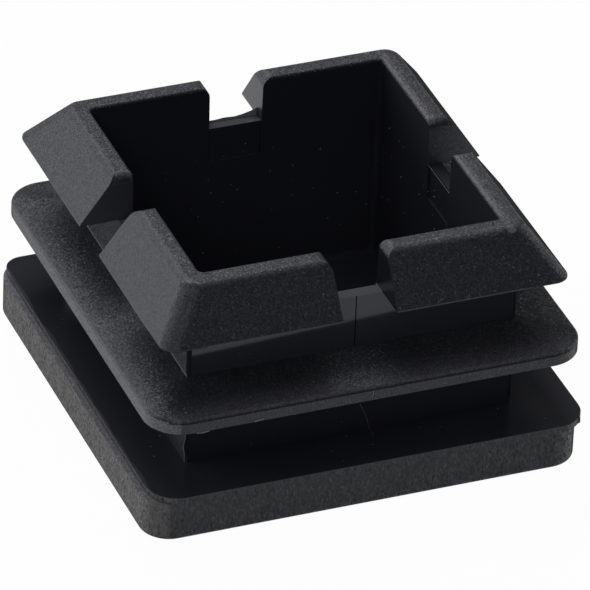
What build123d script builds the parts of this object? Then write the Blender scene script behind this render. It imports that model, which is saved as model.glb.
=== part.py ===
import os
from math import atan2, degrees

from build123d import *

os.makedirs("parts", exist_ok=True)

# Square end cap for a square tube, moulded in one piece.
# It stands on its head: z = 0 is the outer face of the head and the insert points up.

# Sizes in mm
# Head, the square plate that covers the end of the tube
head_reach = 4.9
head_side_height = 3.8
head_corner_radius = 2.7
head_edge_radius = 0.5

# Land, the thin top of the head that the other half of the mould forms
land_height = 0.6
land_shift_x = 0.49
land_shift_y = -0.13
land_corner_radius = 2.8
land_rear_left_radius = 1.8

# Body, the hollow square post of the insert; head, fin and lip reach out from its walls
body_width = 30.2
body_wall = 1.35
body_corner_radius = 0.3
body_top = 22.7
cavity_corner_radius = 0.5
cavity_floor = 2.5
cavity_floor_radius = 0.6

# Fin, the flexible flange half way up the insert, which lies a little off its middle
fin_reach = 4.75
fin_shift_x = 0.25
fin_corner_radius = 3.3
fin_underside = 10.7
fin_edge_thickness = 1.3
fin_root_thickness = 2.5
fin_edge_radius = 0.35

# Lip, the wedge around the leading end of the insert
lip_reach = 3.5
lip_height = 4.4
lip_tip_height = 0.12
hip_radius = 1.9
rim_reach = 0.3
rim_outer_radius = 0.9
rim_inner_radius = 0.3

# Slots, one in the middle of each side, down to the underside of the lip
slot_floor_width = 4.9
slot_top_width = 5.0
slot_mouth_radius = 1.0
slot_cut_above = 2.0

# Witness, the shallow step that the slot tooling leaves inside each wall
witness_height = 3.3
witness_depth = 0.2

# How far from its stated place an edge or corner may lie and still be picked
pick_tolerance = 0.01

head_width = body_width + 2 * head_reach
head_height = head_side_height + land_height
land_centre = (land_shift_x / 2, land_shift_y / 2)
insert_centre = (-land_shift_x / 2, -land_shift_y / 2)
fin_centre = (insert_centre[0] + fin_shift_x, insert_centre[1])
cavity_width = body_width - 2 * body_wall
fin_width = body_width + 2 * fin_reach
fin_edge_top = fin_underside + fin_edge_thickness
fin_root_top = fin_underside + fin_root_thickness
lip_width = body_width + 2 * lip_reach
rim_width = body_width + 2 * rim_reach
lip_underside = body_top - lip_height
lip_slope_bottom = lip_underside + lip_tip_height
lip_slope_height = body_top - lip_slope_bottom
lip_slope = degrees(atan2(lip_reach - rim_reach, lip_slope_height))


def rounded_square(width, radius, centre):
    """A square with rounded corners around a centre, in the sketch that is open."""
    with Locations(centre):
        RectangleRounded(width, width, radius)


def sharp_corners(sketch, centre, width):
    """The corners of a square sketch that have no radius yet."""
    corners = []
    for corner in sketch.vertices():
        from_centre = abs(corner.X - centre[0]) + abs(corner.Y - centre[1])
        if from_centre > width - pick_tolerance:
            corners.append(corner)
    return ShapeList(corners)


def edges_at(part, height):
    """The edges of a part that lie wholly at one height."""
    return part.edges().filter_by_position(Axis.Z, height - pick_tolerance, height + pick_tolerance)


def cavity_edges_at(part, height):
    """The edges at one height that run along the walls of the cavity."""
    inside = []
    for edge in edges_at(part, height):
        middle = edge @ 0.5
        from_centre = max(abs(middle.X - insert_centre[0]), abs(middle.Y - insert_centre[1]))
        if from_centre < cavity_width / 2 + pick_tolerance:
            inside.append(edge)
    return ShapeList(inside)


with BuildPart() as lip:
    # Lead-in slope on each side, with rounded hips where the slopes meet
    with BuildSketch(Plane.XY.offset(lip_slope_bottom)):
        with Locations(insert_centre):
            Rectangle(lip_width, lip_width)
    extrude(amount=lip_slope_height, taper=lip_slope)
    fillet(lip.edges().group_by(Axis.Z)[1], hip_radius)

    # Thin upright tip below the slopes
    extrude(lip.faces().sort_by(Axis.Z)[0], amount=lip_tip_height)


with BuildPart() as end_cap:
    # Lower part of the head, rounded around the outer face
    with BuildSketch(Plane.XY):
        rounded_square(head_width, head_corner_radius, insert_centre)
    extrude(amount=head_side_height)
    fillet(edges_at(end_cap, 0), head_edge_radius)

    # Land, moved sideways by the mismatch of the mould halves
    with BuildSketch(Plane.XY.offset(head_side_height)) as land:
        with Locations(land_centre):
            Rectangle(head_width, head_width)
        fillet(land.vertices().sort_by(Axis.X)[:2].sort_by(Axis.Y)[-1], land_rear_left_radius)
        fillet(sharp_corners(land, land_centre, head_width), land_corner_radius)
    extrude(amount=land_height)

    # Body, up to the lip
    with BuildSketch(Plane.XY.offset(head_height)):
        rounded_square(body_width, body_corner_radius, insert_centre)
    extrude(amount=lip_underside - head_height)

    # Fin, flat below and sloping up to the body above
    with BuildSketch(Plane.XY.offset(fin_underside)):
        rounded_square(fin_width, fin_corner_radius, fin_centre)
    extrude(amount=fin_edge_thickness)
    with BuildSketch(Plane.XY.offset(fin_edge_top)):
        rounded_square(fin_width, fin_corner_radius, fin_centre)
    with BuildSketch(Plane.XY.offset(fin_root_top)):
        rounded_square(body_width, body_corner_radius, insert_centre)
    loft(ruled=True)
    fillet(edges_at(end_cap, fin_edge_top), fin_edge_radius)

    # Lip around the leading end, with a rounded rim
    add(lip.part)
    fillet(edges_at(end_cap, body_top), rim_outer_radius)

    # Cavity, open at the leading end
    with BuildSketch(Plane.XY.offset(body_top)):
        rounded_square(cavity_width, cavity_corner_radius, insert_centre)
    extrude(amount=cavity_floor - body_top, mode=Mode.SUBTRACT)
    fillet(cavity_edges_at(end_cap, cavity_floor), cavity_floor_radius)
    fillet(cavity_edges_at(end_cap, body_top), rim_inner_radius)

    # Witness steps inside the walls, below where the slots are cut
    witness_length = cavity_width + 2 * witness_depth
    with BuildSketch(Plane.XY.offset(lip_underside - witness_height)):
        with Locations(insert_centre):
            Rectangle(witness_length, slot_floor_width)
            Rectangle(slot_floor_width, witness_length)
    extrude(amount=witness_height, mode=Mode.SUBTRACT)

    # Slots, cut through two facing walls at a time
    floor_half = slot_floor_width / 2
    top_half = slot_top_width / 2
    mouth_half = top_half + slot_mouth_radius
    mouth_bottom = body_top - slot_mouth_radius
    cut_top = body_top + slot_cut_above
    for side, middle in ((Plane.XZ, insert_centre[0]), (Plane.YZ, insert_centre[1])):
        with BuildSketch(side):
            with BuildLine(Location((middle, 0))):
                Polyline((-top_half, mouth_bottom), (-floor_half, lip_underside),
                         (floor_half, lip_underside), (top_half, mouth_bottom))
                RadiusArc((top_half, mouth_bottom), (mouth_half, body_top), slot_mouth_radius)
                Polyline((mouth_half, body_top), (mouth_half, cut_top),
                         (-mouth_half, cut_top), (-mouth_half, body_top))
                RadiusArc((-mouth_half, body_top), (-top_half, mouth_bottom), slot_mouth_radius)
            make_face()
        extrude(amount=lip_width, both=True, mode=Mode.SUBTRACT)

end_cap.part.label = "end_cap"
export_step(end_cap.part, "parts/end_cap.step")
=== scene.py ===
import math
import random
from functools import partial
from types import SimpleNamespace

import bpy
from mathutils import Matrix, Vector


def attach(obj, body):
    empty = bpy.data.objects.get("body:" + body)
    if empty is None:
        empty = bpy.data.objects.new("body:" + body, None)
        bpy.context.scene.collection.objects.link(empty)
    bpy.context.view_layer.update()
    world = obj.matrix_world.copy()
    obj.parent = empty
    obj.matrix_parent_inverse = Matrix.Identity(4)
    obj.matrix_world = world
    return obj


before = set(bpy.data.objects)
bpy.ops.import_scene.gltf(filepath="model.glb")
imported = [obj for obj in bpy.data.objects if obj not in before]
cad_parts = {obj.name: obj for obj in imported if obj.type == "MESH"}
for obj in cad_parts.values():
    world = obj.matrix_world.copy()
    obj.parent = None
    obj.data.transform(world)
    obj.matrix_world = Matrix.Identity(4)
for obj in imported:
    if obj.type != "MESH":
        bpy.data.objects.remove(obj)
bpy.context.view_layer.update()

# Square tube end cap, one injection moulding in black polyethylene, standing on its head.
# Sizes, levels and points are in mm. Points are taken from the middle of the insert, levels from the floor.

MM = 0.001
end_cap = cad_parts["end_cap"]

# Middle of the insert in the frame, in metres: off the origin by half of the mismatch of the mould halves
INSERT_CENTRE = Vector((-0.245 * MM, 0.065 * MM, 0.0))

# Levels of the moulding
SHOULDER = 4.4
FIN_UNDERSIDE = 10.7
FIN_ROOT_TOP = 13.2
LIP_UNDERSIDE = 18.3
RIM_TOP = 22.7

# Half widths of the moulding, and where its front wall and the front edge of its fin lie
CAVITY_HALF = 13.75
BODY_HALF = 15.1
FRONT_WALL = -BODY_HALF
FIN_FRONT = -19.86
SLOT_HALF = 2.55
SLOT_FLOOR_HALF = 2.45

# Witness steps inside the walls: middle and half of their height, and how far out they may reach
WITNESS_LEVEL = 16.6
WITNESS_LEVEL_HALF = 1.68
WITNESS_HALF = 14.2

# How far off a level a point still lies on it, and how far a finish stops short of a level
ON_LEVEL = 0.04
SHORT_OF_LEVEL = 0.05

# Limits on a face's normal that tell upright, downward, leftward and upward faces, cavity floor and rim top
UPRIGHT_BELOW = 0.3
DOWNWARD_BELOW = -0.5
LEFTWARD_BELOW = -0.3
UPWARD_ABOVE = 0.5
FLOOR_ABOVE = 0.1
RIM_TOP_TURN = (0.62, 0.9)

# Pits of the spark-eroded finish: their width, and on the head's sides their width across, along and up.
# They are drawn wider than spark erosion leaves them, because real ones are too fine to show in the render.
PIT = 0.11
HEAD_PIT = (0.12, 0.15, 0.26)

# How far pits turn: plain ones, rare steep ones, those on the head's sides and those on faces to the left
PLAIN_TILT = 0.34
STEEP_TILT = 1.1
HEAD_TILT = 0.6
LEFT_TILT = 0.2
STEEP_RARITY = 14.0

# Gloss: roughness of cavity, outer walls and eroded faces, and how strongly polished and eroded faces shine
CAVITY_ROUGHNESS = 0.22
WALL_ROUGHNESS = 0.09
ERODED_ROUGHNESS = 0.34
POLISHED_SHINE = 0.5
ERODED_SHINE = 0.35
POLYETHYLENE_IOR = 1.5

# Share of the eroded finish on the faces that the slot tooling cuts
CUT_FACE_GRAIN = 0.25

# How far edge-on a face is seen when its pits start to hide each other and do so most, and the gloss lost
EDGE_ON = (0.62, 0.84)
EDGE_ON_DULL = 0.95

# How far the walls lean over at their left and right end, as the height of a normal of length one
WALL_BOW = (0.005, -0.09)

# Colours of the moulding, the painted sheen on its edges and tops, its paler pits with painted glints, the
# black of lines and painted shade, and the cool tint of its shine
POLISHED_BLACK = "#303138"
ERODED_BLACK = "#2b2c31"
SHEEN_GREY = "#6e6e76"
HEAD_SHEEN_GREY = "#706f6d"
PIT_AND_GLINT_GREY = "#808088"
LINE_AND_SHADE_BLACK = "#0a0a0c"
COOL_TINT = "#eff1fc"

# Paler pits: how strong the random mottle and the rare painted glints are, and how rare
MOTTLE = 0.15
MOTTLE_RARITY = 3.0
PAINTED_GLINTS = 0.3
PAINTED_GLINT_RARITY = 60.0

# Painted sheen on the tops: how far out on the fin it starts and is strongest, how it rises, and the shares of
# fin, rim and both
FIN_SHEEN_FROM = 16.5
FIN_SHEEN_MOST = 19.7
FIN_SHEEN_RISE = 2.0
FIN_SHEEN = 0.9
RIM_SHEEN = 0.72
TOP_SHEEN = 0.7

# Shares of painted sheen on upright edges, on the fin and on the head, where they face the front and the left
FRONT_EDGE_SHEEN = (0.08, 0.12)
LEFT_EDGE_SHEEN = (1.0, 0.64)

# Paler inner edge of the right rim: its middle, half of its width and its depth
INNER_EDGE = 14.0
INNER_EDGE_HALF = 0.35
INNER_EDGE_DEPTH = 0.4

# Painted sheen on the slot floors, all but the right one, and on the cut faces towards the rear
RIGHT_SLOT_FROM = 10.0
SLOT_FLOOR_SHEEN = 0.5
REAR_CUT_SHEEN = 0.12

# Painted highlight on the land's wavy left edge: where it lies, how far in its band reaches, its waves and its
# share
LAND_LEFT = -19.51
LAND_BAND = (0.08, 0.34)
LAND_WAVE = 4.0
LAND_WAVE_DETAIL = 1.5
LAND_WAVE_SPREAD = (0.35, 0.65)
LAND_SHEEN = 0.25

# Weld line on the front wall, and the painted shade in the groove at the top of the fin's front edge
WELD_LINE = 0.12
WELD_LINE_HALF = 0.05
WELD_DEPTH = 0.05
GROOVE = 11.72
GROOVE_HALF = 0.08
GROOVE_FROM = -19.2
GROOVE_SHADE = 0.75

# Upright corners without gloss, with painted shade on the body's: how far out they start on body and cavity,
# from what height, and how dark that painted shade is
BODY_CORNER = 14.75
CAVITY_CORNER = 13.4
CORNER_FROM = 5.0
CORNER_SHADE = 0.35

# Painted shade along the head's lower edge, between two heights, and on the cut faces of the front slot
LOWER_EDGE = (0.1, 0.5)
LOWER_EDGE_SHADE = 0.85
FRONT_CUT_SHADE = 0.55

# A Mix node takes numbers at its inputs 2 and 3, and takes colours at 6 and 7 and gives them at output 2
NUMBER_A, NUMBER_B = 2, 3
COLOUR_A, COLOUR_B, COLOUR_OUT = 6, 7, 2

# Paper sweep: shares of plain white that gloss mirrors and the camera sees; its side in metres, its level in mm
MIRRORED_WHITE = 0.58
SEEN_WHITE = 0.975
FLOOR_SIDE = 6.0
FLOOR_LEVEL = -0.02

# Leaves of flash: their thickness, and how far back the one in the back slot stands
LEAF = 0.02
BACK_LEAF = 15.0

# Dust: how many specks lie on each patch, and the patch's reach across, along and up
DUST_SEED = 7
SPECK_RADIUS = (0.03, 0.085)
DUST_PATCHES = {
    "rear wall of the cavity": (34, ((-9, 13), (CAVITY_HALF, CAVITY_HALF), (4, 17))),
    "right wall of the cavity": (36, ((CAVITY_HALF, CAVITY_HALF), (-13, 13), (4, 17))),
    "front of the shoulder": (9, ((-18, 18), (-19.4, -15.6), (SHOULDER, SHOULDER))),
    "left of the shoulder": (9, ((-18.5, -15.6), (-14, 18), (SHOULDER, SHOULDER))),
    "front wall above the fin": (5, ((-14, 14), (FRONT_WALL, FRONT_WALL), (13.5, 18))),
    "front wall below the fin": (4, ((-14, 14), (FRONT_WALL, FRONT_WALL), (5, 10))),
    "front of the fin": (6, ((-16, 16), (-18.6, -15.6), (12.7, 12.7))),
}

# Softboxes: azimuth and elevation in degrees, width and height in metres, and radiance.
# Azimuth 0 is behind the object and 90 to its right. All stand at one distance, in metres.
LAMP_DISTANCE = 1.5
SOFTBOXES = {
    "softbox_above_rear": (-6, 58, 0.9, 0.7, 3.7),
    "softbox_overhead": (0, 88, 0.7, 0.7, 1.1),
    "softbox_rear_right": (50, 58, 0.7, 0.7, 0.55),
    "softbox_front": (165, 55, 0.7, 0.7, 0.5),
    "softbox_front_left": (-150, 38, 0.7, 0.7, 1.7),
    "softbox_rear": (-7, 36, 0.7, 0.4, 1.3),
    "softbox_low_left": (-58, 9, 1.4, 0.42, 2.9),
    "softbox_rear_left": (-32, 25, 0.5, 0.5, 2.2),
    "softbox_low_right": (86, 15, 0.8, 0.65, 1.6),
    "softbox_rear_faint": (38, 34, 0.5, 0.4, 0.3),
    "softbox_left": (-78, 36, 0.8, 0.5, 1.4),
}

# Camera, fitted to the straight edges of the photograph
CAMERA_FROM_INSERT = Vector((-207.28 * MM, -504.10 * MM, 363.45 * MM))
CAMERA_YAW = math.radians(22.418)
CAMERA_PITCH = math.radians(-33.029)
CAMERA_ROLL = math.radians(2.407)
PHOTO_SIDE = 590
FOCAL_IN_PIXELS = 7450
SENSOR = 36.0


def colour(hex_value):
    """An sRGB hex colour as linear RGBA."""
    channels = [int(hex_value[i:i + 2], 16) / 255 for i in (1, 3, 5)]
    linear = [c / 12.92 if c <= 0.04045 else ((c + 0.055) / 1.055) ** 2.4 for c in channels]
    return (*linear, 1.0)


def add_node(tree, kind, inputs=None, **settings):
    """Adds a node with its settings, and fills its inputs with values, sockets or a node's first output."""
    node = tree.nodes.new(kind)
    for name, value in settings.items():
        if hasattr(node, name):
            setattr(node, name, value)
        else:
            node.inputs[name.replace("_", " ")].default_value = value
    for name, source in (inputs or {}).items():
        if isinstance(source, bpy.types.Node):
            source = source.outputs[0]
        if isinstance(source, bpy.types.NodeSocket):
            tree.links.new(source, node.inputs[name])
        else:
            node.inputs[name].default_value = source
    return node


def fresh_material(name):
    """A material that has no nodes yet, and the function that adds them."""
    material = bpy.data.materials.new(name)
    material.use_nodes = True
    material.node_tree.nodes.clear()
    return material, partial(add_node, material.node_tree)


def mould_zones(add, place, facing):
    """Masks of the parts of the moulding, from where a point lies and which way its face looks."""
    zone = SimpleNamespace()
    height = place["Z"]
    across = add("ShaderNodeMath", {0: place["X"]}, operation="ABSOLUTE")
    along = add("ShaderNodeMath", {0: place["Y"]}, operation="ABSOLUTE")
    reach = add("ShaderNodeMath", {0: across, 1: along}, operation="MAXIMUM")
    zone.off_middle = add("ShaderNodeMath", {0: across, 1: along}, operation="MINIMUM")

    # Head, fin and lip, by height
    zone.head = add("ShaderNodeMath", {0: height, 1: SHOULDER - SHORT_OF_LEVEL}, operation="LESS_THAN")
    zone.fin = add("ShaderNodeMath", {0: height, 1: (FIN_UNDERSIDE + FIN_ROOT_TOP) / 2,
                                      2: (FIN_ROOT_TOP - FIN_UNDERSIDE) / 2}, operation="COMPARE")
    zone.lip = add("ShaderNodeMath", {0: height, 1: LIP_UNDERSIDE + SHORT_OF_LEVEL},
                   operation="GREATER_THAN")

    # Outside of the cavity, whose witness steps reach into the walls
    at_witness = add("ShaderNodeMath", {0: height, 1: WITNESS_LEVEL, 2: WITNESS_LEVEL_HALF},
                     operation="COMPARE")
    in_witness = add("ShaderNodeMath", {0: reach, 1: WITNESS_HALF}, operation="LESS_THAN")
    in_witness = add("ShaderNodeMath", {0: at_witness, 1: in_witness}, operation="MULTIPLY")
    outside = add("ShaderNodeMath", {0: reach, 1: CAVITY_HALF}, operation="GREATER_THAN")
    outside = add("ShaderNodeMath", {0: outside, 1: in_witness}, operation="SUBTRACT")
    zone.outside = add("ShaderNodeMath", {0: outside, 1: 0.0}, operation="MAXIMUM")

    # Faces by the way they look
    steepness = add("ShaderNodeMath", {0: facing["Z"]}, operation="ABSOLUTE")
    zone.upright = add("ShaderNodeMath", {0: steepness, 1: UPRIGHT_BELOW}, operation="LESS_THAN")
    zone.upward = add("ShaderNodeMath", {0: facing["Z"], 1: UPWARD_ABOVE}, operation="GREATER_THAN")
    zone.leftward = add("ShaderNodeMath", {0: facing["X"], 1: LEFTWARD_BELOW}, operation="LESS_THAN")
    not_downward = add("ShaderNodeMath", {0: facing["Z"], 1: DOWNWARD_BELOW}, operation="GREATER_THAN")

    # Cut faces at the sides of the slots, which the slot tooling leaves with little grain
    cut = add("ShaderNodeMath", {0: zone.off_middle, 1: SLOT_HALF}, operation="LESS_THAN")
    for share in (zone.upright, zone.lip):
        cut = add("ShaderNodeMath", {0: cut, 1: share}, operation="MULTIPLY")
    zone.cut = cut
    smoothed = add("ShaderNodeMath", {0: cut, 1: 1 - CUT_FACE_GRAIN}, operation="MULTIPLY")
    grained = add("ShaderNodeMath", {0: 1.0, 1: smoothed}, operation="SUBTRACT")

    # Spark-eroded: head sides, fin, lip slopes and rim
    eroded = zone.head
    for part in (zone.fin, zone.lip):
        eroded = add("ShaderNodeMath", {0: eroded, 1: part}, operation="MAXIMUM")
    for share in (zone.outside, grained, not_downward):
        eroded = add("ShaderNodeMath", {0: eroded, 1: share}, operation="MULTIPLY")
    zone.eroded = eroded
    return zone


def eroded_pits(add, in_mm, zone, normal):
    """Turns each pit of the eroded finish its own way, and gives each a chance from 0 to 1."""
    scale = {}
    for axis, head_pit in enumerate(HEAD_PIT):
        scale[axis] = add("ShaderNodeMapRange", {"Value": zone.head}, To_Min=1 / PIT, To_Max=1 / head_pit)
    scale = add("ShaderNodeCombineXYZ", scale)
    pit_place = add("ShaderNodeVectorMath", {0: in_mm, 1: scale}, operation="MULTIPLY")
    pits = add("ShaderNodeTexVoronoi", {"Vector": pit_place}, Scale=1.0)
    chance = add("ShaderNodeTexWhiteNoise", {"Vector": pits.outputs["Position"]}).outputs["Value"]

    # Steep pits, which sparkle, are rare, and there are none on the head and on faces to the left
    steep = add("ShaderNodeMath", {0: chance, 1: STEEP_RARITY}, operation="POWER")
    calm = add("ShaderNodeMath", {0: zone.head, 1: zone.leftward}, operation="MAXIMUM")
    lively = add("ShaderNodeMath", {0: 1.0, 1: calm}, operation="SUBTRACT")
    steep = add("ShaderNodeMath", {0: steep, 1: lively}, operation="MULTIPLY")
    tilt = add("ShaderNodeMapRange", {"Value": zone.leftward}, To_Min=PLAIN_TILT, To_Max=LEFT_TILT)
    tilt = add("ShaderNodeMapRange", {"Value": zone.head, "To Min": tilt}, To_Max=HEAD_TILT)
    tilt = add("ShaderNodeMapRange", {"Value": steep, "To Min": tilt}, To_Max=STEEP_TILT)
    tilt = add("ShaderNodeMath", {0: tilt, 1: zone.eroded}, operation="MULTIPLY")

    # A pit's random colour, less middle grey, is the way it turns
    turned = add("ShaderNodeVectorMath", {0: pits.outputs["Color"], 1: (0.5, 0.5, 0.5)}, operation="SUBTRACT")
    turned = add("ShaderNodeVectorMath", {0: turned, "Scale": tilt}, operation="SCALE")
    return add("ShaderNodeVectorMath", {0: normal, 1: turned}, operation="ADD"), chance


def bowed_walls(add, place, zone, normal):
    """Leans the normals of the polished outer walls, which bow from their left end to their right."""
    bow = add("ShaderNodeMapRange", {"Value": place["X"]}, From_Min=-BODY_HALF, From_Max=BODY_HALF,
              To_Min=WALL_BOW[0], To_Max=WALL_BOW[1])
    polished = add("ShaderNodeMath", {0: zone.outside, 1: zone.eroded}, operation="SUBTRACT")
    for share in (zone.upright, polished):
        bow = add("ShaderNodeMath", {0: bow, 1: share}, operation="MULTIPLY")
    bow = add("ShaderNodeCombineXYZ", {2: bow})
    leaning = add("ShaderNodeVectorMath", {0: normal, 1: bow}, operation="ADD")
    return add("ShaderNodeVectorMath", {0: leaning}, operation="NORMALIZE")


def sheen_on_tops(add, place, facing, zone):
    """How much painted sheen the top of the fin, towards its front and left edge, and the top of the rim get.
    """
    nearest = add("ShaderNodeMath", {0: place["X"], 1: place["Y"]}, operation="MINIMUM")
    fin = add("ShaderNodeMapRange", {"Value": nearest}, From_Min=-FIN_SHEEN_FROM, From_Max=-FIN_SHEEN_MOST,
              To_Max=FIN_SHEEN)
    fin = add("ShaderNodeMath", {0: fin, 1: FIN_SHEEN_RISE}, operation="POWER")
    for share in (zone.fin, zone.upward):
        fin = add("ShaderNodeMath", {0: fin, 1: share}, operation="MULTIPLY")
    rim = add("ShaderNodeMapRange", {"Value": facing["Z"]},
              From_Min=RIM_TOP_TURN[0], From_Max=RIM_TOP_TURN[1])
    for share in (zone.lip, zone.outside, RIM_SHEEN):
        rim = add("ShaderNodeMath", {0: rim, 1: share}, operation="MULTIPLY")
    lit = add("ShaderNodeMath", {0: fin, 1: rim}, operation="MAXIMUM")
    return add("ShaderNodeMath", {0: lit, 1: TOP_SHEEN}, operation="MULTIPLY")


def sheen_on_edges(add, place, zone):
    """How much painted sheen the upright edges of fin and head get, most facing left, and how far the right
    rim's inner edge is paler.
    """
    front = add("ShaderNodeMapRange", {"Value": zone.head},
                To_Min=FRONT_EDGE_SHEEN[0], To_Max=FRONT_EDGE_SHEEN[1])
    left = add("ShaderNodeMapRange", {"Value": zone.head},
               To_Min=LEFT_EDGE_SHEEN[0], To_Max=LEFT_EDGE_SHEEN[1])
    edge = add("ShaderNodeMapRange", {"Value": zone.leftward, "To Min": front, "To Max": left})
    below_lip = add("ShaderNodeMath", {0: zone.eroded, 1: zone.lip}, operation="SUBTRACT")
    for share in (zone.upright, below_lip):
        edge = add("ShaderNodeMath", {0: edge, 1: share}, operation="MULTIPLY")
    inner = add("ShaderNodeMath", {0: place["X"], 1: INNER_EDGE, 2: INNER_EDGE_HALF}, operation="COMPARE")
    at_top = add("ShaderNodeMath", {0: place["Z"], 1: RIM_TOP - INNER_EDGE_DEPTH}, operation="GREATER_THAN")
    inner = add("ShaderNodeMath", {0: inner, 1: at_top}, operation="MULTIPLY")
    return add("ShaderNodeMath", {0: edge, 1: inner}, operation="MAXIMUM")


def sheen_on_ledges(add, place, zone):
    """How much painted sheen the slot floors get, and the ledge that the mould mismatch leaves below the land.
    """
    slot_floor = add("ShaderNodeMath", {0: place["Z"], 1: LIP_UNDERSIDE, 2: ON_LEVEL}, operation="COMPARE")
    left_of_right = add("ShaderNodeMath", {0: place["X"], 1: RIGHT_SLOT_FROM}, operation="LESS_THAN")
    for share in (left_of_right, SLOT_FLOOR_SHEEN):
        slot_floor = add("ShaderNodeMath", {0: slot_floor, 1: share}, operation="MULTIPLY")
    sheen = add("ShaderNodeMath", {0: zone.head, 1: slot_floor}, operation="MAXIMUM")
    for share in (zone.outside, zone.upward):
        sheen = add("ShaderNodeMath", {0: sheen, 1: share}, operation="MULTIPLY")
    return sheen


def land_edge_highlight(add, in_mm, place):
    """How strong the painted highlight along the land's wavy left edge is."""
    waves = add("ShaderNodeTexNoise", {"Vector": in_mm}, Scale=1 / LAND_WAVE, Detail=LAND_WAVE_DETAIL)
    band = add("ShaderNodeMapRange", {"Value": waves},
               From_Min=LAND_WAVE_SPREAD[0], From_Max=LAND_WAVE_SPREAD[1],
               To_Min=LAND_LEFT + LAND_BAND[0], To_Max=LAND_LEFT + LAND_BAND[1])
    edge = add("ShaderNodeMath", {0: place["X"], 1: band}, operation="LESS_THAN")
    on_land = add("ShaderNodeMath", {0: place["Z"], 1: SHOULDER, 2: ON_LEVEL}, operation="COMPARE")
    for share in (on_land, LAND_SHEEN):
        edge = add("ShaderNodeMath", {0: edge, 1: share}, operation="MULTIPLY")
    return edge


def sheen_places(add, in_mm, place, facing, zone, chance):
    """How much painted sheen or highlight each place gets, and how far the right rim's inner edge is paler. It
    falls on some pits more than others.
    """
    lit = add("ShaderNodeMath", {0: sheen_on_tops(add, place, facing, zone),
                                    1: sheen_on_edges(add, place, zone)}, operation="MAXIMUM")
    reached = add("ShaderNodeMath", {0: chance}, operation="SQRT")
    sheen = add("ShaderNodeMath", {0: lit, 1: reached}, operation="MULTIPLY")
    rear_cut = add("ShaderNodeMath", {0: place["Y"], 1: 0.0}, operation="GREATER_THAN")
    for share in (zone.cut, REAR_CUT_SHEEN):
        rear_cut = add("ShaderNodeMath", {0: rear_cut, 1: share}, operation="MULTIPLY")
    for part in (sheen_on_ledges(add, place, zone), land_edge_highlight(add, in_mm, place), rear_cut):
        sheen = add("ShaderNodeMath", {0: sheen, 1: part}, operation="MAXIMUM")
    return sheen


def sharp_corners(add, place, facing, zone):
    """Upright corners of body and cavity, cavity floor and witness steps: no gleam, and painted shade on the
    body's.
    """
    start = add("ShaderNodeMapRange", {"Value": zone.outside}, To_Min=CAVITY_CORNER, To_Max=BODY_CORNER)
    corner = add("ShaderNodeMath", {0: zone.off_middle, 1: start}, operation="GREATER_THAN")
    above_shoulder = add("ShaderNodeMath", {0: place["Z"], 1: CORNER_FROM}, operation="GREATER_THAN")
    corner = add("ShaderNodeMath", {0: corner, 1: above_shoulder}, operation="MULTIPLY")
    inside = add("ShaderNodeMath", {0: 1.0, 1: zone.outside}, operation="SUBTRACT")
    floor = add("ShaderNodeMath", {0: facing["Z"], 1: FLOOR_ABOVE}, operation="GREATER_THAN")
    deep = add("ShaderNodeMath", {0: inside, 1: floor}, operation="MULTIPLY")
    corner = add("ShaderNodeMath", {0: corner, 1: deep}, operation="MAXIMUM")
    polished = add("ShaderNodeMath", {0: 1.0, 1: zone.eroded}, operation="SUBTRACT")
    return add("ShaderNodeMath", {0: corner, 1: polished}, operation="MULTIPLY")


def lines_and_shade(add, place, zone, corner):
    """Weld line, and painted shade in groove, head's lower edge, body corners and front slot's cut faces: how
    dark.
    """
    height = place["Z"]

    # Weld line where the melt fronts met, on the front wall above the fin
    weld = add("ShaderNodeMath", {0: place["X"], 1: WELD_LINE, 2: WELD_LINE_HALF}, operation="COMPARE")
    on_front = add("ShaderNodeMath", {0: place["Y"], 1: FRONT_WALL, 2: WELD_DEPTH}, operation="COMPARE")
    above_fin = add("ShaderNodeMath", {0: height, 1: FIN_ROOT_TOP}, operation="GREATER_THAN")
    for share in (on_front, above_fin):
        weld = add("ShaderNodeMath", {0: weld, 1: share}, operation="MULTIPLY")

    # Painted shade in the groove along the top of the fin's front edge
    groove = add("ShaderNodeMath", {0: height, 1: GROOVE, 2: GROOVE_HALF}, operation="COMPARE")
    at_front = add("ShaderNodeMath", {0: place["Y"], 1: GROOVE_FROM}, operation="LESS_THAN")
    for share in (at_front, GROOVE_SHADE):
        groove = add("ShaderNodeMath", {0: groove, 1: share}, operation="MULTIPLY")

    # Lower edge of the head, in its own shade
    lower_edge = add("ShaderNodeMapRange", {"Value": height}, From_Min=LOWER_EDGE[0], From_Max=LOWER_EDGE[1],
                     To_Min=LOWER_EDGE_SHADE, To_Max=0.0)

    # Painted shade in the upright corners of the body
    for share in (zone.outside, CORNER_SHADE):
        corner = add("ShaderNodeMath", {0: corner, 1: share}, operation="MULTIPLY")

    # Painted shade on the cut faces of the front slot
    front_cut = add("ShaderNodeMath", {0: place["Y"], 1: -CAVITY_HALF}, operation="LESS_THAN")
    for share in (zone.cut, FRONT_CUT_SHADE):
        front_cut = add("ShaderNodeMath", {0: front_cut, 1: share}, operation="MULTIPLY")

    line_and_shade = weld
    for part in (groove, lower_edge, corner, front_cut):
        line_and_shade = add("ShaderNodeMath", {0: line_and_shade, 1: part}, operation="MAXIMUM")
    return line_and_shade


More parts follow.
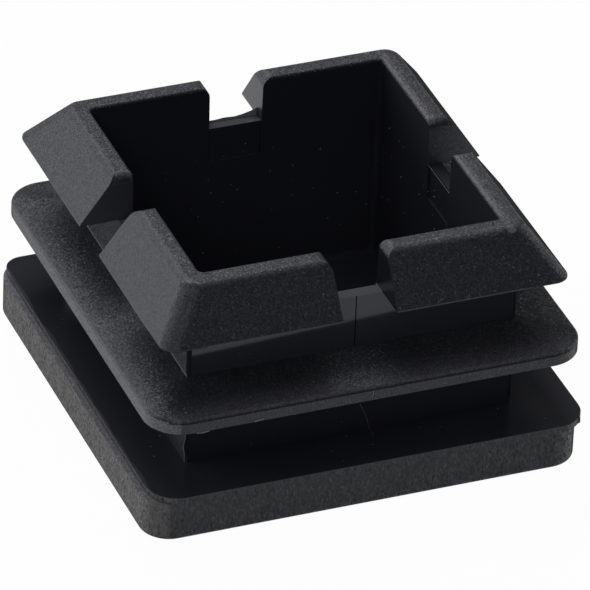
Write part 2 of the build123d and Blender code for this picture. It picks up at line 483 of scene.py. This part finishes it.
def moulded_skin(add, zone, sheen, chance, line_and_shade):
    """Colour of the moulding: black, paler with painted sheen, in random pits and painted glints, darkest along
    lines and in painted shade.
    """
    plain = add("ShaderNodeMix", {"Factor": zone.eroded, COLOUR_A: colour(POLISHED_BLACK),
                                  COLOUR_B: colour(ERODED_BLACK)}, data_type="RGBA").outputs[COLOUR_OUT]
    # Painted sheen is grey, warmer on the head's sides
    head_side = add("ShaderNodeMath", {0: zone.head, 1: zone.upright}, operation="MULTIPLY")
    lit = add("ShaderNodeMix", {"Factor": head_side, COLOUR_A: colour(SHEEN_GREY),
                                   COLOUR_B: colour(HEAD_SHEEN_GREY)}, data_type="RGBA").outputs[COLOUR_OUT]
    # Random paler mottle in the pits, and rare painted glints
    mottle = add("ShaderNodeMath", {0: chance, 1: MOTTLE_RARITY}, operation="POWER")
    mottle = add("ShaderNodeMath", {0: mottle, 1: MOTTLE}, operation="MULTIPLY")
    glints = add("ShaderNodeMath", {0: chance, 1: PAINTED_GLINT_RARITY}, operation="POWER")
    glints = add("ShaderNodeMath", {0: glints, 1: PAINTED_GLINTS}, operation="MULTIPLY")
    paler = add("ShaderNodeMath", {0: mottle, 1: glints}, operation="MAXIMUM")
    above_head = add("ShaderNodeMath", {0: zone.eroded, 1: zone.head}, operation="SUBTRACT")
    paler = add("ShaderNodeMath", {0: paler, 1: above_head}, operation="MULTIPLY")
    skin = plain
    for share, over in ((sheen, lit), (paler, colour(PIT_AND_GLINT_GREY)), (line_and_shade, colour(LINE_AND_SHADE_BLACK))):
        skin = add("ShaderNodeMix", {"Factor": share, COLOUR_A: skin, COLOUR_B: over},
                   data_type="RGBA").outputs[COLOUR_OUT]
    return skin


def moulded_polyethylene():
    """Black polyethylene, injection moulded between two finishes of steel.

    Spark-eroded steel leaves head sides, fin, lip and rim matt and speckled; their edges and tops get a painted
    sheen.
    Polished steel leaves walls, shoulder and cavity dark and glossy, so they mirror what stands around them.
    """
    material, add = fresh_material("moulded_polyethylene")
    coordinates = add("ShaderNodeTexCoord").outputs
    from_insert = add("ShaderNodeVectorMath", {0: coordinates["Object"], 1: INSERT_CENTRE},
                      operation="SUBTRACT")
    in_mm = add("ShaderNodeVectorMath", {0: from_insert}, operation="SCALE", Scale=1 / MM)
    place = add("ShaderNodeSeparateXYZ", {0: in_mm}).outputs
    facing = add("ShaderNodeSeparateXYZ", {0: coordinates["Normal"]}).outputs
    zone = mould_zones(add, place, facing)
    normal, chance = eroded_pits(add, in_mm, zone, coordinates["Normal"])
    normal = bowed_walls(add, place, zone, normal)
    sheen = sheen_places(add, in_mm, place, facing, zone, chance)
    corner = sharp_corners(add, place, facing, zone)
    line_and_shade = lines_and_shade(add, place, zone, corner)
    skin = moulded_skin(add, zone, sheen, chance, line_and_shade)

    # Polish is glossiest on the outer walls; inside, the core leaves a duller film
    outer_wall = add("ShaderNodeMath", {0: zone.outside, 1: zone.upright}, operation="MULTIPLY")
    polish = add("ShaderNodeMapRange", {"Value": outer_wall}, To_Min=CAVITY_ROUGHNESS, To_Max=WALL_ROUGHNESS)
    matt = add("ShaderNodeMath", {0: zone.eroded, 1: zone.cut}, operation="MAXIMUM")
    roughness = add("ShaderNodeMix", {"Factor": matt, NUMBER_A: polish, NUMBER_B: ERODED_ROUGHNESS})
    shine = add("ShaderNodeMapRange", {"Value": zone.eroded}, To_Min=POLISHED_SHINE, To_Max=ERODED_SHINE)
    lost = add("ShaderNodeMath", {0: line_and_shade, 1: corner}, operation="MAXIMUM")
    kept = add("ShaderNodeMath", {0: 1.0, 1: lost}, operation="SUBTRACT")
    shine = add("ShaderNodeMath", {0: shine, 1: kept}, operation="MULTIPLY")
    surface = add("ShaderNodeBsdfPrincipled", {"Normal": normal, "Roughness": roughness,
                                               "Specular IOR Level": shine, "Base Color": skin},
                  IOR=POLYETHYLENE_IOR, Specular_Tint=colour(COOL_TINT))

    # Seen almost edge-on the pits hide each other, so the gloss dies away
    edge_on = add("ShaderNodeLayerWeight", {"Normal": coordinates["Normal"]}).outputs["Facing"]
    hidden = add("ShaderNodeMapRange", {"Value": edge_on}, From_Min=EDGE_ON[0], From_Max=EDGE_ON[1],
                 To_Max=EDGE_ON_DULL)
    hidden = add("ShaderNodeMath", {0: hidden, 1: zone.eroded}, operation="MULTIPLY")
    dull = add("ShaderNodeBsdfDiffuse", {"Normal": normal, "Color": skin})
    blend = add("ShaderNodeMixShader", {0: hidden, 1: surface, 2: dull})
    add("ShaderNodeOutputMaterial", {"Surface": blend})
    return material


def white_sweep():
    """White paper: camera and gloss see it white, it keeps a soft shadow, and it is clear from below."""
    material, add = fresh_material("white_sweep")
    rays = add("ShaderNodeLightPath").outputs
    seen = add("ShaderNodeMath", {0: rays["Is Camera Ray"], 1: rays["Is Glossy Ray"]}, operation="MAXIMUM")
    seen = add("ShaderNodeMath", {0: seen, 1: rays["Is Transmission Ray"]}, operation="MAXIMUM")
    share = add("ShaderNodeMapRange", {"Value": rays["Is Camera Ray"]},
                To_Min=MIRRORED_WHITE, To_Max=SEEN_WHITE)
    share = add("ShaderNodeMath", {0: seen, 1: share}, operation="MULTIPLY")
    paper = add("ShaderNodeBsdfDiffuse", Color=colour("#f2f2f2"))
    glow = add("ShaderNodeEmission", Color=colour("#ffffff"), Strength=1.0)
    sweep = add("ShaderNodeMixShader", {0: share, 1: paper, 2: glow})
    behind = add("ShaderNodeNewGeometry").outputs["Backfacing"]
    clear = add("ShaderNodeBsdfTransparent")
    sweep = add("ShaderNodeMixShader", {0: behind, 1: sweep, 2: clear})
    add("ShaderNodeOutputMaterial", {"Surface": sweep})
    return material


def matte(name, hex_value, roughness):
    """A finish of one colour, for marks that are too small to show more."""
    material, add = fresh_material(name)
    surface = add("ShaderNodeBsdfPrincipled", Base_Color=colour(hex_value), Roughness=roughness)
    add("ShaderNodeOutputMaterial", {"Surface": surface})
    return material


def place_on_part(point):
    """A point in mm from the insert's middle, as metres in the frame."""
    return INSERT_CENTRE + Vector(point) * MM


def finish_piece(pieces, name, material):
    """Joins pieces into one, sets it at the origin, names it and lets it ride with the moulding."""
    bpy.ops.object.select_all(action="DESELECT")
    for piece in pieces:
        piece.select_set(True)
    bpy.context.view_layer.objects.active = pieces[0]
    if len(pieces) > 1:
        bpy.ops.object.join()
    bpy.ops.object.transform_apply(location=True, rotation=True, scale=True)
    pieces[0].name = name
    pieces[0].data.name = name
    pieces[0].data.materials.append(material)
    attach(pieces[0], "root")


def fine_line(name, points, width, material):
    """A thin raised line along points, six-sided, with its width in mm."""
    lengths = []
    for start, end in zip(points, points[1:]):
        start, end = place_on_part(start), place_on_part(end)
        bpy.ops.object.select_all(action="DESELECT")
        bpy.ops.mesh.primitive_cylinder_add(vertices=6, radius=width / 2 * MM, depth=(end - start).length,
                                            location=(start + end) / 2,
                                            rotation=(end - start).to_track_quat("Z", "Y").to_euler())
        lengths.append(bpy.context.object)
    finish_piece(lengths, name, material)


def flake(name, outline, material):
    """A thin leaf of flash with the given outline."""
    bpy.ops.object.select_all(action="DESELECT")
    bpy.ops.mesh.primitive_circle_add(vertices=len(outline), radius=MM, fill_type="NGON")
    leaf = bpy.context.object
    for vertex, point in zip(leaf.data.vertices, outline):
        vertex.co = place_on_part(point)
    bpy.ops.object.modifier_add(type="SOLIDIFY")
    leaf.modifiers[0].thickness = LEAF * MM
    bpy.ops.object.modifier_apply(modifier=leaf.modifiers[0].name)
    finish_piece([leaf], name, material)


def wall_marks(flash_highlight, scuff_and_highlight):
    """Bead with a painted highlight along the fin's left root, and a scratch down the lower front wall and out
    over the shoulder.
    """
    fine_line("root_bead", ((-15.13, 14.9, 13.25), (-15.13, -15.1, 13.25)), 0.12, flash_highlight)
    fine_line("wall_scratch", ((0.93, FRONT_WALL, 7.04), (1.32, FRONT_WALL, 6.16), (1.62, FRONT_WALL, 5.4),
                               (1.85, -15.12, 4.42)), 0.06, scuff_and_highlight)
    fine_line("shoulder_scratch", ((1.85, -15.12, 4.42), (1.9, -15.47, SHOULDER), (1.85, -15.9, SHOULDER),
                                   (1.67, -16.52, SHOULDER)), 0.05, scuff_and_highlight)


def slot_edge_highlights(scuff_and_highlight):
    """Painted highlights along the inner edge of the right slot's floor and the right edge of the front slot's
    floor.
    """
    fine_line("slot_edge_highlight", ((13.8, SLOT_FLOOR_HALF, LIP_UNDERSIDE), (13.8, -SLOT_FLOOR_HALF, LIP_UNDERSIDE)),
              0.06, scuff_and_highlight)
    fine_line("front_slot_edge_highlight", ((2.42, -13.8, 18.32), (2.46, -15.05, LIP_UNDERSIDE)), 0.07, scuff_and_highlight)


def edge_flash(flash_highlight):
    """Ragged flash, with a painted highlight, down the lower front-left corner of the body and along the fin's
    lower front edge.
    """
    fine_line("corner_flash_highlight", ((-15.15, -15.0, 10.2), (-15.2, -14.7, 8.8), (-15.12, -15.05, 7.6),
                               (-15.1, FRONT_WALL, 6.9), (-15.2, -14.9, 5.9), (-15.12, FRONT_WALL, 5.2),
                               (-15.12, -15.08, 4.5)), 0.09, flash_highlight)
    fine_line("fin_flash", ((-15.9, -19.8, 10.66), (-15.4, -19.84, 10.6), (-15.1, -19.84, 10.64),
                            (-14.8, -19.84, 10.68)), 0.14, flash_highlight)
    fine_line("fin_flash_right", ((-10.7, -19.85, 10.74), (-10.3, -19.87, 10.86), (-9.9, -19.87, 10.9)),
              0.12, flash_highlight)


def flash_leaves(rough_flash, land_flash):
    """Torn leaf of flash that rises to the right on the back slot's floor, and one at the land's corner."""
    slot_leaf = ((-2.45, 18.25), (-2.45, 18.48), (-1.4, 18.48), (-0.6, 18.56), (0.4, 18.5),
                 (1.2, 18.62), (1.9, 18.8), (2.46, 19.05), (2.46, 18.25))
    flake("back_slot_flash", [(across, BACK_LEAF, up) for across, up in slot_leaf], rough_flash)
    flake("land_flash", ((19.72, -18.3, 4.38), (19.88, -18.8, 4.36), (19.95, -19.1, 4.2),
                         (19.88, -19.3, 3.86), (19.6, -19.4, 3.86), (19.3, -19.4, 4.3)), land_flash)


def fin_nick(notch_shadow, flash_highlight):
    """Nick in the fin's front edge: the painted shadow of the notch, and the scar that stands up beside it,
    with a painted highlight.
    """
    fine_line("fin_notch", ((0.15, FIN_FRONT, 11.7), (0.2, FIN_FRONT, 11.3), (0.1, FIN_FRONT, 10.9)),
              0.07, notch_shadow)
    fine_line("fin_scar", ((0.05, FIN_FRONT, 11.65), (0.1, FIN_FRONT, 11.3), (-0.02, FIN_FRONT, 11.0)),
              0.08, flash_highlight)


def dust(material):
    """Dust specks on the walls, the shoulder and the fin."""
    chance = random.Random(DUST_SEED)
    specks = []
    for count, patch in DUST_PATCHES.values():
        for _ in range(count):
            bpy.ops.object.select_all(action="DESELECT")
            bpy.ops.mesh.primitive_ico_sphere_add(
                subdivisions=1, radius=chance.uniform(*SPECK_RADIUS) * MM,
                location=place_on_part([chance.uniform(low, high) for low, high in patch]))
            specks.append(bpy.context.object)
    finish_piece(specks, "dust", material)


def paper_floor():
    """The paper that the cap stands on, a hair below it."""
    bpy.ops.object.select_all(action="DESELECT")
    bpy.ops.mesh.primitive_plane_add(size=FLOOR_SIDE, location=(0, 0, FLOOR_LEVEL * MM))
    floor = bpy.context.object
    floor.name = "floor"
    floor.data.materials.append(white_sweep())


def dark_studio():
    """A dark room that gives no light and that the camera sees as white paper."""
    world = bpy.data.worlds.new("studio")
    world.use_nodes = True
    world.node_tree.nodes.clear()
    add = partial(add_node, world.node_tree)
    rays = add("ShaderNodeLightPath").outputs
    dark = add("ShaderNodeBackground", Color=colour("#000000"))
    white = add("ShaderNodeBackground", Color=colour("#ffffff"))
    seen = add("ShaderNodeMixShader", {0: rays["Is Camera Ray"], 1: dark, 2: white})
    add("ShaderNodeOutputWorld", {"Surface": seen})
    bpy.context.scene.world = world


def softbox(name, azimuth, elevation, width, height, radiance):
    """A softbox that faces the object. Its power is its radiance times pi times its area."""
    turn, rise = math.radians(azimuth), math.radians(elevation)
    direction = Vector((math.sin(turn) * math.cos(rise), math.cos(turn) * math.cos(rise), math.sin(rise)))
    lamp = bpy.data.lights.new(name, "AREA")
    lamp.shape = "RECTANGLE"
    lamp.size = width
    lamp.size_y = height
    lamp.energy = radiance * math.pi * width * height
    holder = bpy.data.objects.new(name, lamp)
    holder.location = direction * LAMP_DISTANCE
    holder.rotation_euler = direction.to_track_quat("Z", "Y").to_euler()
    bpy.context.scene.collection.objects.link(holder)


def photo_camera():
    """The camera where the photograph was taken from."""
    forward = Vector((math.sin(CAMERA_YAW) * math.cos(CAMERA_PITCH),
                      math.cos(CAMERA_YAW) * math.cos(CAMERA_PITCH), math.sin(CAMERA_PITCH)))
    level_right = Vector((math.cos(CAMERA_YAW), -math.sin(CAMERA_YAW), 0))
    level_up = level_right.cross(forward)
    right = level_right * math.cos(CAMERA_ROLL) + level_up * math.sin(CAMERA_ROLL)
    up = level_up * math.cos(CAMERA_ROLL) - level_right * math.sin(CAMERA_ROLL)
    lens = bpy.data.cameras.new("camera")
    lens.sensor_width = SENSOR
    lens.lens = SENSOR * FOCAL_IN_PIXELS / PHOTO_SIDE
    camera = bpy.data.objects.new("camera", lens)
    turn = Matrix((right, up, -forward)).transposed().to_4x4()
    camera.matrix_world = Matrix.Translation(INSERT_CENTRE + CAMERA_FROM_INSERT) @ turn
    bpy.context.scene.collection.objects.link(camera)
    bpy.context.scene.camera = camera


end_cap.data.materials[0] = moulded_polyethylene()

# Flash and beads are thin polyethylene; their pale grey is a painted highlight along their edges
flash_highlight = matte("flash_highlight", "#77777d", 0.35)

# Scratches have lost their gloss and look grey; along the edges of the slot floors the same grey is a painted
# highlight
scuff_and_highlight = matte("scuffed_and_highlit_polyethylene", "#5c5c62", 0.5)
wall_marks(flash_highlight, scuff_and_highlight)
slot_edge_highlights(scuff_and_highlight)
edge_flash(flash_highlight)

# Torn flash is rough and whitened, while flash squeezed out at the land stays as dark as the part
flash_leaves(matte("rough_flash", "#8b8b93", 0.5), matte("land_flash", "#303036", 0.4))

# A notch this narrow lets no light out
fin_nick(matte("notch_shadow", "#0c0c0f", 0.6), flash_highlight)

# Dust is matt and a little brown
dust(matte("dust", "#7f776f", 0.9))

paper_floor()
dark_studio()
for name, setting in SOFTBOXES.items():
    softbox(name, *setting)
photo_camera()
bpy.context.scene.view_settings.view_transform = "Standard"
